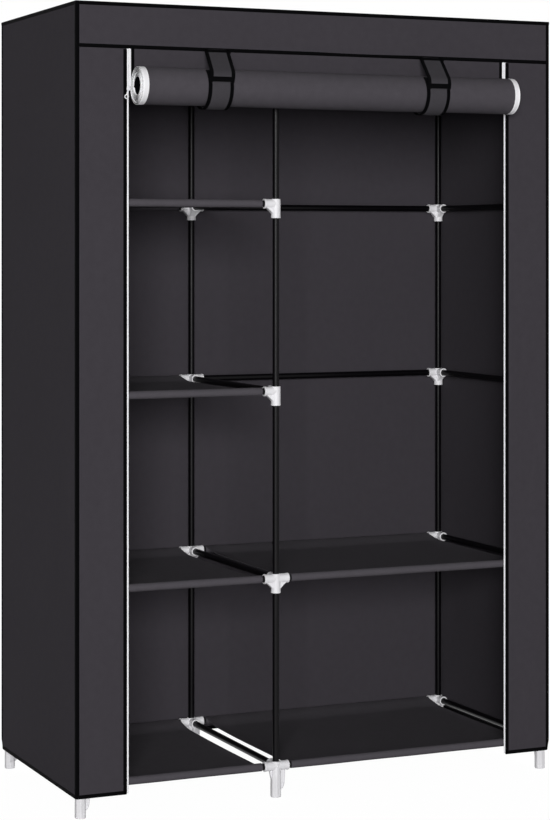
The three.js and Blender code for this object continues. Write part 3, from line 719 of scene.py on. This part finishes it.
for side_name, side in SIDES:
    x = side * inner
    path = np.linspace((x, FRONT_Y, HEM_Z + 0.001), (x, FRONT_Y, FLAP_TOP - 0.0016), 60)
    binding(f"binding_flap_{side_name}", path, (0, -1, 0), (side, 0, 0), hem_profile(TAPE_WIDTH))

# ---- Zips
# A white coil zip on each side of the doorway: a woven tape sewn under the flap's binding, with a
# nylon coil on its edge. Above the slider the door's half is closed against it.

TAPE_FROM = 0.454
COIL_CENTRE = 0.4461
COIL_HALF = 0.0013
COIL_PITCH = 0.0022
COIL_POINTS = 8
SLIDER_Z = 1.503

zip_tape = finish(
    "white_zip_tape", RIBBED_TAPE, shade(248, 247, 250, 0.92),
    {"Rib pitch": 0.0008, "Stitch line": 9.0, "Thread": 0.0}, {"Specular IOR Level": 0.3}, space="UV",
)
zip_nylon = finish(
    "white_zip_coil", HARD_SKIN, shade(250, 250, 252),
    {"Ripple": 1500.0, "Unevenness": 0.04, "Gloss": 0.38}, {"Specular IOR Level": 0.45},
)


def oval(wide, high, count=8):
    """Points of an ellipse with two half widths."""
    angle = np.linspace(0, 2 * np.pi, count, endpoint=False)
    return np.stack([wide * np.cos(angle), high * np.sin(angle)], axis=1)


def coil(x, low, high, lean):
    """A flattened helix of nylon: the wire's middle goes round an ellipse once for each pitch while
    it climbs, and four points round it make the wire."""
    steps = int(round((high - low) / COIL_PITCH * COIL_POINTS))
    turn = np.arange(steps + 1) * 2 * np.pi / COIL_POINTS
    out = np.stack([np.cos(turn), np.sin(turn), np.zeros_like(turn)], axis=1)
    centre = out * (COIL_HALF, 0.0009, 0) + (x, FRONT_Y, low)
    centre[:, 2] += COIL_PITCH * turn / (2 * np.pi)
    return shell(swept(centre, out, (lean * 0.15, 0, 1), oval(0.00042, 0.00062, 4)), ends="fan")


def wire(path, wide, high):
    """A wire of oval section along an open path in the depth and height plane."""
    path = np.array(path, float)
    normal = np.cross(unit(np.gradient(path, axis=0)), (1, 0, 0))
    return shell(swept(path, (1, 0, 0), normal, oval(wide, high)), ends="fan")


def upright_band(x_from, x_to, heights, thickness, cols=3, kind_in=0):
    """A flat upright band between two widths, with rows of points at the given heights."""
    x, z = np.meshgrid(np.linspace(x_from, x_to, cols), heights)
    return cloth_shell(np.stack([x, np.full_like(x, FRONT_Y), z], axis=2), thickness, 0, kind_in)


for side_name, side in SIDES:
    low, high, x = HEM_Z + 0.001, FLAP_TOP, side * COIL_CENTRE
    parts = [upright_band(side * TAPE_FROM, side * (COIL_CENTRE + 0.0008), np.linspace(low, high, 40), 0.0006)]
    piece(f"zip_tape_{side_name}", parts, [zip_tape], replaced=[f"zip_{side_name}"])
    cord = wire(np.linspace((x, FRONT_Y, low), (x, FRONT_Y, high), 12), 0.0008, 0.0005)
    parts = [coil(x, low, high, side), cord]
    piece(f"zip_coil_{side_name}", parts, [zip_nylon], replaced=[f"zip_{side_name}"], crease=60)

# ---- Zip sliders
# A cast slider with white lacquer on each zip: two shield-shaped plates joined by a wedge, and a
# wire bail on the front one. The pull is a stamped plate that hangs in the bail by its eye, a
# little askew, with a round hole near its end.

SLIDER_MIDDLE = 0.4462
PULL_Y = -0.2195
PULL_REACH = 0.019
PULL_LEAN = np.radians(14)
PLATE_RIM = 0.00025

lacquer = finish(
    "white_lacquered_metal", HARD_SKIN, shade(232, 232, 235),
    {"Ripple": 700.0, "Unevenness": 0.08, "Gloss": 0.26},
    {"Specular IOR Level": 0.5, "Coat Weight": 0.4, "Coat Roughness": 0.1},
)


def plate(x, y_middle, half, right):
    """A thin plate from the right half of its outline, drawn in at both faces for rounded rims."""
    outline = np.array(right + [(-a, b) for a, b in right[::-1]])
    middle = outline.mean(axis=0)
    rings = []
    for off, share in ((-half, 0.86), (PLATE_RIM - half, 1.0), (half - PLATE_RIM, 1.0), (half, 0.86)):
        flat = middle + (outline - middle) * share + (x, 0)
        rings.append(np.insert(flat, 1, y_middle + off, axis=1))
    return shell(np.array(rings), ends="fan")


def washer(x, y, z, half_width, half_height, bar, thickness, square=2.0):
    """A flat closed ring: a rounded-square section carried round a superellipse."""
    circle = oval(1, 1, 36)
    grow = (np.abs(circle) ** square).sum(axis=1, keepdims=True) ** (-1 / square)
    spokes = np.insert(circle * grow * (half_width, half_height), 1, 0, axis=1)
    corner = np.array([(1, 0.6), (0.7, 1), (-0.7, 1), (-1, 0.6), (-1, -0.6), (-0.7, -1), (0.7, -1), (1, -0.6)])
    section = corner * (bar / 2, thickness / 2)
    return shell(swept(spokes + (x, y, z), unit(spokes), (0, 1, 0), section), along=True)


def leaned(made, x, z, angle):
    """A shell turned by an angle about a line along the depth through x and z."""
    c, s = np.cos(angle), np.sin(angle)
    a, y, b = (made[0] - (x, 0, z)).T
    return (np.stack([x + a * c - b * s, y, z + a * s + b * c], axis=1), *made[1:])


shield = np.array([(0.0026, 0.006), (0.0032, 0.003), (0.003, -0.002), (0.0024, -0.0056), (0.0016, -0.006)])
for side_name, side in SIDES:
    x = side * SLIDER_MIDDLE
    outline = (shield + (0, SLIDER_Z)).tolist()
    wedge = (shield * 0.3 + (0, SLIDER_Z + 0.0035)).tolist()
    bail = [
        (x, FRONT_Y - 0.0029 - 0.0034 * np.sin(a), SLIDER_Z + 0.0036 * np.cos(a))
        for a in np.linspace(0, np.pi, 14)
    ]
    parts = [plate(x, FRONT_Y + off, 0.0006, outline) for off in (-0.0025, 0.0025)]
    parts += [plate(x, FRONT_Y, 0.0021, wedge), wire(bail, 0.0006, 0.0006)]
    name = f"zip_slider_{side_name}"
    piece(f"slider_{side_name}", parts, [lacquer], body=name, replaced=[name])
    ring_z = SLIDER_Z - PULL_REACH
    neck = [(0.0016, SLIDER_Z - 0.0052), (0.002, ring_z + 0.0034), (0.0012, ring_z + 0.0026)]
    parts = [
        washer(x, PULL_Y, SLIDER_Z - 0.0023, 0.0033, 0.0026, 0.0014, 0.0011, 4.0),
        plate(x, PULL_Y, 0.00055, neck), washer(x, PULL_Y, ring_z, 0.0039, 0.0039, 0.0021, 0.0012),
    ]
    parts = [leaned(part, x, SLIDER_Z, side * PULL_LEAN) for part in parts]
    name = f"zip_pull_{side_name}"
    piece(f"pull_{side_name}", parts, [lacquer], body=name, replaced=[name])

# ---- Door
# One cloth hangs from the header behind the flaps' zips and is rolled up outwards, so that its
# inner face shows. The white zip tapes on its side edges make the white ends of the roll.

DOOR_HALF = 0.441
DOOR_EDGE = 0.4398
TAPE_BAND = 0.0125
BAND_THICK = 0.0015
ROLL_Y = -0.2553
ROLL_Z = 1.5062
ROLL_OUTER = 0.04
ROLL_PITCH = 0.0027
ROLL_TURNS = 8
STEPS = 26
COIL_STEPS = 40
HINGE_Z = 1.512

# On the roll the door's inner face is paler than the same face of the cover's cloth: painted light on the roll.
roll_cloth_painted_light = cloth_finish("door_inner_face_painted_light", 75, 72, 77)
hanging_cloth = cloth_finish("door_outer_face", *OUTER_COLOUR, space="Object")
hanging_lining = cloth_finish("door_hanging_inner_face", 66, 63, 68, space="Object")


def roll():
    """The wound cloth: the angle runs from the roll's back under it, up its front and on inwards,
    the radius falls by one pitch a turn, and small sine waves make it look wound by hand. Its side
    edges have white zip tape on the face that shows. The face of its innermost turn takes the black
    tape's finish, which is painted shade in the hole at the roll's core."""
    turn = np.arange(ROLL_TURNS * STEPS + 1) * 2 * np.pi / STEPS
    inner = np.linspace(-DOOR_HALF + TAPE_BAND, DOOR_HALF - TAPE_BAND, 40)
    edge = np.array([0, 0.004, 0.009, TAPE_BAND - 0.0004])
    along = np.concatenate([edge - DOOR_HALF, inner, (DOOR_HALF - edge)[::-1]])
    a, x = np.meshgrid(turn, along, indexing="ij")
    waves = ((0.00035, 9, 0.8), (0.00025, 23, -1.7), (0.0002, 2, 5))
    wave = sum(size * np.sin(p * x + q * a) for size, p, q in waves)
    radius = ROLL_OUTER - ROLL_PITCH * a / (2 * np.pi) + wave * np.clip(a / 1.2, 0, 1)
    middle = np.stack([x, ROLL_Y + radius * np.cos(a), ROLL_Z - radius * np.sin(a)], axis=2)
    band = np.abs(x) > DOOR_HALF - TAPE_BAND + 0.0001
    white = band[:-1, :-1] & band[:-1, 1:]
    # The innermost turn takes the black tape's finish: painted shade in the hole at the roll's core.
    painted_shade_core = a[:-1, :-1] > (ROLL_TURNS - 1.05) * 2 * np.pi
    kinds = np.where(painted_shade_core | white, 2, 0), white[:, ::-1].astype(int)
    made = piece(
        "door_rolled_cloth", [cloth_shell(middle, np.where(band, BAND_THICK, CLOTH), *kinds)],
        [roll_cloth_painted_light, zip_tape, black_tape], body="door", replaced=["door_roll"],
    )
    return made


def edge_coil(side_name, side):
    """A zip coil as wound in the roll: an oval bead along the same spiral at the roll's end."""
    turn = np.arange(ROLL_TURNS * COIL_STEPS + 1) * 2 * np.pi / COIL_STEPS
    radius = ROLL_OUTER - ROLL_PITCH * turn / (2 * np.pi)
    out = np.stack([np.zeros_like(turn), np.cos(turn), -np.sin(turn)], axis=1)
    path = (side * (DOOR_HALF - 0.0012), ROLL_Y, ROLL_Z) + radius[:, None] * out
    bead = shell(swept(path, (1, 0, 0), out, oval(0.0016, 0.00085)), ends="fan")
    return piece(
        f"door_coil_{side_name}", [bead], [zip_nylon], body="door",
        replaced=["door_roll"], crease=60,
    )


for made in [edge_coil(*named) for named in SIDES] + [roll()]:
    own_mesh(made)

heights = np.concatenate([np.linspace(HEADER_Z - 0.0003, HINGE_Z, 14), np.linspace(HINGE_Z, ROLL_Z, 25)[1:]])


def hanging(name, bands, materials):
    """A piece of the door's hanging part, from bands of two widths and other sizes, reaching from
    the header down to the roll. It joins no body, and its place is baked into its mesh."""
    shells = [upright_band(x_from, x_to, heights, *sizes, kind_in=1) for x_from, x_to, *sizes in bands]
    made = piece(name, shells, materials, body=None, replaced=["door_roll"])
    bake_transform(made)
    return made


sheet = hanging(
    "door_hanging_cloth", [(-DOOR_EDGE + 0.002, DOOR_EDGE - 0.002, CLOTH, 30)], [hanging_cloth, hanging_lining],
)
for side_name, side in SIDES:
    edge = side * DOOR_EDGE
    hanging(f"door_binding_{side_name}", [(edge - side * TAPE_WIDTH, edge, 0.0026)], [black_tape, black_tape])
    tape_band = (edge - side * 0.001, edge + side * 0.0024, 0.0007)
    bead = (edge + side * 0.002, edge + side * 0.0046, 0.0024)
    hanging(f"door_zip_half_{side_name}", [tape_band, bead], [zip_tape, zip_tape])
    parts = [coil(edge + side * 0.0034, SLIDER_Z + 0.0105, HEADER_Z - 0.0005, -side)]
    piece(f"door_zip_coil_{side_name}", parts, [zip_nylon], crease=60)

# ---- Straps
# Two straps of the cover's cloth with black bindings hold the roll. Each comes down behind the
# header and folds at the roll's back, and its loop goes under the roll and up its front, where a
# tab from outside holds its end.

STRAP_X = (-0.271, 0.237)
STRAP_HALF = 0.0275
STRAP_BINDING = 0.0075
END_BINDING = 0.0105
BINDING_HALF = 0.0009
STRAP_TOP = 1.6
LOOP_RADIUS = 0.0417
LOOP_SLACK = 0.004
BACK_ROOM = 0.001
TAB_RADIUS = 0.0442
TAB_SEAM = (-0.2177, 1.5885)
TAB_END = np.pi + np.radians(11)
TAB_LEAN = 0.022

strap_cloth = cloth_finish("strap_cloth", 66, 64, 68)


def round_roll(radius, angles):
    """Points on a circle round the roll; the angle starts at its back and goes down under it."""
    return np.stack([ROLL_Y + radius * np.cos(angles), ROLL_Z - radius * np.sin(angles)], axis=1)


def strap(name, line, x, lean, bound, body, nodes):
    """A strap along a line in depth and height: cloth across its width and, as a second piece,
    bindings folded round its sides and, where asked for, its ends. Its middle goes with the height
    from x plus the lean to x."""
    along = unit(np.gradient(line, axis=0))
    normal = np.stack([np.zeros(len(line)), -along[:, 1], along[:, 0]], axis=1)
    middle_x = x + lean * (line[:, 1] - line[-1, 1]) / (line[0, 1] - line[-1, 1])
    path = np.concatenate([middle_x[:, None], line], axis=1)
    widths = np.linspace(-STRAP_HALF + 0.001, STRAP_HALF - 0.001, 8)
    middle = path[:, None] + widths[:, None] * (1, 0, 0)
    cloth = piece(name, [cloth_shell(middle, CLOTH)], [strap_cloth], body=body, replaced=nodes)
    side_tape, end_tape = (hem_profile(size, half=BINDING_HALF) for size in (STRAP_BINDING, END_BINDING))
    rings = [swept(path + (side * STRAP_HALF, 0, 0), normal, (-side, 0, 0), side_tape) for side in (-1, 1)]
    for at, heading in ((0, 1), (-1, -1)) if bound else ():
        back = heading * np.array((0, *along[at]))
        reach = np.array((STRAP_HALF + 0.0008, 0, 0))
        end = path[at] + 0.0012 * back + np.linspace(-reach, reach, 8)
        rings.append(swept(end, normal[at], back, end_tape))
    shells = [shell(ring, ends="fan") for ring in rings]
    edging = piece(f"binding_{name}", shells, [black_tape], body=body, replaced=nodes, crease=50)
    return cloth, edging


# The angle where a line from the tab's seam touches the circle that the tab follows.
away = np.array(TAB_SEAM) - (ROLL_Y, ROLL_Z)
touch = 2 * np.pi - np.arctan2(away[1], away[0]) - np.arccos(TAB_RADIUS / np.hypot(*away))
back_y = ROLL_Y + LOOP_RADIUS + BACK_ROOM
for side_name, x in zip(("left", "right"), STRAP_X):
    drop = [(back_y, z) for z in (*np.linspace(STRAP_TOP, 1.516, 12), *np.linspace(1.513, 1.5075, 6))]
    under = np.linspace(0.02, touch, 60)
    slack = LOOP_SLACK * np.sin(np.clip(under, 0, np.pi)) ** 2 + BACK_ROOM * np.clip(1.5 - under, 0, 1)
    loop_line = np.concatenate([drop, round_roll(LOOP_RADIUS + slack, under)])
    swings = len(drop) + 3
    back_name, loop_node, tab_node = (f"strap_{part}_{side_name}" for part in ("back", "loop", "tab"))
    for made in strap(back_name, loop_line[:swings + 1], x, 0.0, False, None, [f"strap_top_{side_name}"]):
        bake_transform(made)
    strap(f"strap_{side_name}", loop_line[swings:], x, 0.0, False, loop_node, [loop_node])
    tab_curve = round_roll(TAB_RADIUS, np.linspace(touch, TAB_END, 18))
    tab_line = np.concatenate([np.linspace(TAB_SEAM, tab_curve[0], 8)[:-1], tab_curve])
    strap(f"tab_{side_name}", tab_line, x, TAB_LEAN, True, tab_node, [tab_node])

# ---- Floor, light, camera
# The wardrobe stands on a plain pale floor in front of nothing, lit by one broad soft lamp far in
# front of it, by a weaker near one, by one high behind it and by even light from all round.

FLOOR_HALF = 40.0
FLOOR_SEEN = 0.91
FLOOR_GLOW = 1.08
AMBIENT = 0.085
LAMP_AIM = (0.0, 0.0, 0.85)
LAMPS = (
    ("key", (-4.8, -12.2, 2.6), 1145.0, 4.6, 4.0),
    ("fill", (-2.2, -5.0, 1.5), 58.0, 1.4, 1.2),
    ("behind", (4.5, 9.0, 6.0), 700.0, 4.6, 4.0),
)

floor_mesh = bpy.data.meshes.new("floor")
floor_corners = [(x * FLOOR_HALF, y * FLOOR_HALF, 0) for x, y in ((-1, -1), (1, -1), (1, 1), (-1, 1))]
floor_mesh.from_pydata(floor_corners, [], [(0, 1, 2, 3)])
floor = bpy.data.objects.new("floor", floor_mesh)
bpy.context.scene.collection.objects.link(floor)


def seen_directly(tree):
    """One where a ray comes from the camera, a mirror-like surface or glass, else nought."""
    path = tree.nodes.new("ShaderNodeLightPath").outputs
    seen = maths(tree, "MAXIMUM", path["Is Camera Ray"], path["Is Glossy Ray"])
    return maths(tree, "MAXIMUM", seen, path["Is Transmission Ray"])


pale = bpy.data.materials.new("pale_floor")
pale.use_nodes = True
tree = pale.node_tree
surface = tree.nodes["Principled BSDF"]
place = tree.nodes.new("ShaderNodeTexCoord").outputs["Object"]
cloud = summed(tree, 0.99, (noise(tree, place, 2.0, 3), 0.02))
looks = {"Roughness": 0.8, "Specular IOR Level": 0.1, "Base Color": tinted(tree, shade(172, 171, 173), cloud)}
for title, value in looks.items():
    join(tree, value, surface.inputs[title])
glow = node(tree, "Emission", {"Strength": FLOOR_GLOW})
share = maths(tree, "MULTIPLY", seen_directly(tree), FLOOR_SEEN)
mixed = node(tree, "MixShader", (share, surface.outputs[0], glow))
tree.links.new(mixed, tree.nodes["Material Output"].inputs["Surface"])
floor_mesh.materials.append(pale)

world = bpy.data.worlds.new("studio")
world.use_nodes = True
bpy.context.scene.world = world
tree = world.node_tree
sky = tree.nodes["Background"]
sky.inputs["Color"].default_value = (1, 1, 1, 1)
join(tree, summed(tree, AMBIENT, (seen_directly(tree), 1 - AMBIENT)), sky.inputs["Strength"])

for name, place, power, wide, high in LAMPS:
    lamp = bpy.data.lights.new(name, "AREA")
    lamp.shape = "RECTANGLE"
    lamp.size, lamp.size_y, lamp.energy = wide, high, power
    light = bpy.data.objects.new(name, lamp)
    light.location = place
    aim = Vector(LAMP_AIM) - Vector(place)
    light.rotation_euler = aim.to_track_quat("-Z", "Y").to_euler()
    bpy.context.scene.collection.objects.link(light)

view = bpy.data.cameras.new("camera")
view.lens = 98.939
view.shift_y = -0.20334
camera = bpy.data.objects.new("camera", view)
camera.location = (-2.0642, -4.5975, 1.1816)
camera.rotation_euler = (np.pi / 2, 0, np.radians(-23.996))
bpy.context.scene.collection.objects.link(camera)
bpy.context.scene.camera = camera
bpy.context.scene.view_settings.view_transform = "Standard"
